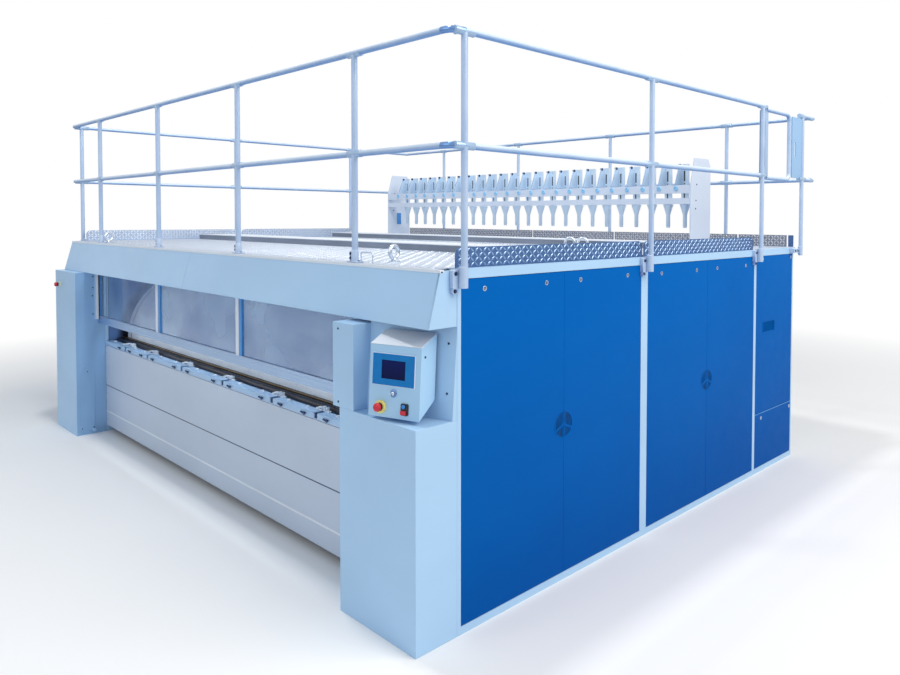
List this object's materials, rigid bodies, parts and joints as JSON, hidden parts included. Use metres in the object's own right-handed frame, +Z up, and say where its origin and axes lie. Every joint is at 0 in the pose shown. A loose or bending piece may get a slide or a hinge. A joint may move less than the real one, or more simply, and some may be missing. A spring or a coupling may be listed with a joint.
{
  "type": "flatwork ironer",
  "caption": "Industrial flatwork ironer: padded rolls in heated chests between side cabinets, with a lifting finger guard, control box and railed service deck.",
  "frame": {"origin": "centre of the whole object's footprint, on the floor", "axes": "+Z up, -Y towards the feeding side, +X to the right as seen from the feeding side"},
  "size_m": [5.7, 4.257, 2.887],
  "materials": {
    "cabinet_paint": "smooth light grey-blue powder coat",
    "door_paint": "satin mid-blue powder coat",
    "panel_paint": "light grey coated sheet",
    "feed_steel": "brushed stainless sheet",
    "machine_iron": "primed cast and welded iron",
    "chest_steel": "polished bed with a heat-tinted lip",
    "roll_cloth": "steel drum under an off-white felt and cloth cover",
    "drive_steel": "oiled steel",
    "deck_plate": "chequered aluminium plate",
    "rail_steel": "galvanised steel tube",
    "rack_steel": "zinc-plated steel",
    "guard_aluminium": "anodised aluminium section",
    "guard_glass": "clear safety glass",
    "console_paint": "smooth pale blue coat",
    "console_black": "black coat",
    "touch_panel": "blue bezel round a dark screen",
    "button_red": "red moulded plastic",
    "button_blue": "blue moulded plastic",
    "key_steel": "bright plated barrel and key"
  },
  "bodies": {
    "frame": {"side_frame_left": "cabinet_paint", "side_frame_right": "cabinet_paint", "column_left": "cabinet_paint", "column_right_lower": "cabinet_paint", "column_right_upper": "cabinet_paint", "fascia": "cabinet_paint", "kick_panel": "panel_paint", "apron_panel": "panel_paint", "rear_panel": "panel_paint", "rear_cover": "panel_paint", "vent_hood_front": "panel_paint", "vent_hood_rear": "panel_paint", "feed_table": "feed_steel", "delivery_plate": "feed_steel", "bearing_wall_left": "machine_iron", "bearing_wall_right": "machine_iron", "cross_beam_front": "machine_iron", "cross_beam_middle": "machine_iron", "cross_beam_rear": "machine_iron", "gear_motor": "machine_iron", "chest_front": "chest_steel", "chest_rear": "chest_steel", "chest_bridge": "chest_steel", "drive_chain": "drive_steel", "deck": "deck_plate", "toe_board_left": "deck_plate", "toe_board_right": "deck_plate", "toe_board_rear": "deck_plate", "guardrail_front": "rail_steel", "guardrail_rear": "rail_steel", "guardrail_left": "rail_steel", "guardrail_right": "rail_steel", "lever_rack": "rack_steel", "control_box": "console_paint", "control_bracket": "console_black", "touch_panel": "touch_panel"},
    "roll_front": {"roll_front": "roll_cloth"},
    "roll_rear": {"roll_rear": "roll_cloth"},
    "motor_sprocket": {"motor_sprocket": "drive_steel"},
    "guard": {"guard_rail": "guard_aluminium", "guard_glass": "guard_glass"},
    "gate": {"gate": "rail_steel"},
    "estop_console": {"estop_console": "button_red"},
    "estop_column": {"estop_column": "button_red"},
    "start_button": {"start_button": "button_blue"},
    "stop_button": {"stop_button": "button_red"},
    "key_switch": {"key_switch": "key_steel"},
    "tension_levers": {"tension_levers": "rack_steel"},
    "door_left_1": {"door_left_1": "door_paint"},
    "door_left_2": {"door_left_2": "door_paint"},
    "door_left_3": {"door_left_3": "door_paint"},
    "door_left_4": {"door_left_4": "door_paint"},
    "door_left_5": {"door_left_5": "door_paint"},
    "door_left_6": {"door_left_6": "door_paint"},
    "door_right_1": {"door_right_1": "door_paint"},
    "door_right_2": {"door_right_2": "door_paint"},
    "door_right_3": {"door_right_3": "door_paint"},
    "door_right_4": {"door_right_4": "door_paint"},
    "door_right_5": {"door_right_5": "door_paint"},
    "door_right_6": {"door_right_6": "door_paint"}
  },
  "joints": [
    {"name": "roll_front_turn", "type": "hinge", "parent": "frame", "child": "roll_front", "pos_m": [0, -1.0715, 0.87], "axis": [1, 0, 0], "continuous": true},
    {"name": "roll_rear_turn", "type": "hinge", "parent": "frame", "child": "roll_rear", "pos_m": [0, 0.4685, 0.87], "axis": [1, 0, 0], "continuous": true},
    {"name": "motor_turn", "type": "hinge", "parent": "frame", "child": "motor_sprocket", "pos_m": [2.3, -0.3015, 0.3], "axis": [1, 0, 0], "continuous": true},
    {"name": "guard_lift", "type": "slide", "parent": "frame", "child": "guard", "axis": [0, 0, 1], "range_m": [0, 0.2]},
    {"name": "gate_swing", "type": "hinge", "parent": "frame", "child": "gate", "pos_m": [2.833, 1.2165, 2.5875], "axis": [0, 0, 1], "range_deg": [0, 90], "stiffness_Nm_per_rad": 4},
    {"name": "estop_console_press", "type": "slide", "parent": "frame", "child": "estop_console", "axis": [-0.27, 0.9607, -0.0645], "range_m": [0, 0.006]},
    {"name": "estop_column_press", "type": "slide", "parent": "frame", "child": "estop_column", "axis": [0, 1, 0], "range_m": [0, 0.006]},
    {"name": "start_press", "type": "slide", "parent": "frame", "child": "start_button", "axis": [-0.27, 0.9607, -0.0645], "range_m": [0, 0.004], "stiffness_N_per_m": 500},
    {"name": "stop_press", "type": "slide", "parent": "frame", "child": "stop_button", "axis": [-0.27, 0.9607, -0.0645], "range_m": [0, 0.004], "stiffness_N_per_m": 500},
    {"name": "key_turn", "type": "hinge", "parent": "frame", "child": "key_switch", "pos_m": [2.58245, -2.05739, 1.17775], "axis": [0.27, -0.9607, 0.0645], "range_deg": [-90, 0]},
    {"name": "lever_press", "type": "hinge", "parent": "frame", "child": "tension_levers", "pos_m": [0, 1.4205, 2.255], "axis": [-1, 0, 0], "range_deg": [0, 8]},
    {"name": "door_left_1_tilt", "type": "hinge", "parent": "frame", "child": "door_left_1", "pos_m": [-2.787, -1.444, 0.043], "axis": [0, -1, 0], "range_deg": [0, 12]},
    {"name": "door_left_2_tilt", "type": "hinge", "parent": "frame", "child": "door_left_2", "pos_m": [-2.787, -0.7075, 0.043], "axis": [0, -1, 0], "range_deg": [0, 12]},
    {"name": "door_left_3_tilt", "type": "hinge", "parent": "frame", "child": "door_left_3", "pos_m": [-2.787, 0.0965, 0.043], "axis": [0, -1, 0], "range_deg": [0, 12]},
    {"name": "door_left_4_tilt", "type": "hinge", "parent": "frame", "child": "door_left_4", "pos_m": [-2.787, 0.8155, 0.043], "axis": [0, -1, 0], "range_deg": [0, 12]},
    {"name": "door_left_5_tilt", "type": "hinge", "parent": "frame", "child": "door_left_5", "pos_m": [-2.787, 1.5295, 0.471], "axis": [0, -1, 0], "range_deg": [0, 12]},
    {"name": "door_left_6_tilt", "type": "hinge", "parent": "frame", "child": "door_left_6", "pos_m": [-2.787, 1.5295, 0.043], "axis": [0, -1, 0], "range_deg": [0, 12]},
    {"name": "door_right_1_tilt", "type": "hinge", "parent": "frame", "child": "door_right_1", "pos_m": [2.787, -1.444, 0.043], "axis": [0, 1, 0], "range_deg": [0, 12]},
    {"name": "door_right_2_tilt", "type": "hinge", "parent": "frame", "child": "door_right_2", "pos_m": [2.787, -0.7075, 0.043], "axis": [0, 1, 0], "range_deg": [0, 12]},
    {"name": "door_right_3_tilt", "type": "hinge", "parent": "frame", "child": "door_right_3", "pos_m": [2.787, 0.0965, 0.043], "axis": [0, 1, 0], "range_deg": [0, 12]},
    {"name": "door_right_4_tilt", "type": "hinge", "parent": "frame", "child": "door_right_4", "pos_m": [2.787, 0.8155, 0.043], "axis": [0, 1, 0], "range_deg": [0, 12]},
    {"name": "door_right_5_tilt", "type": "hinge", "parent": "frame", "child": "door_right_5", "pos_m": [2.787, 1.5295, 0.471], "axis": [0, 1, 0], "range_deg": [0, 12]},
    {"name": "door_right_6_tilt", "type": "hinge", "parent": "frame", "child": "door_right_6", "pos_m": [2.787, 1.5295, 0.043], "axis": [0, 1, 0], "range_deg": [0, 12]}
  ],
  "couplings": [
    {"joint": "roll_rear_turn", "follows": "roll_front_turn", "ratio": 1},
    {"joint": "motor_turn", "follows": "roll_front_turn", "ratio": 2.5}
  ]
}
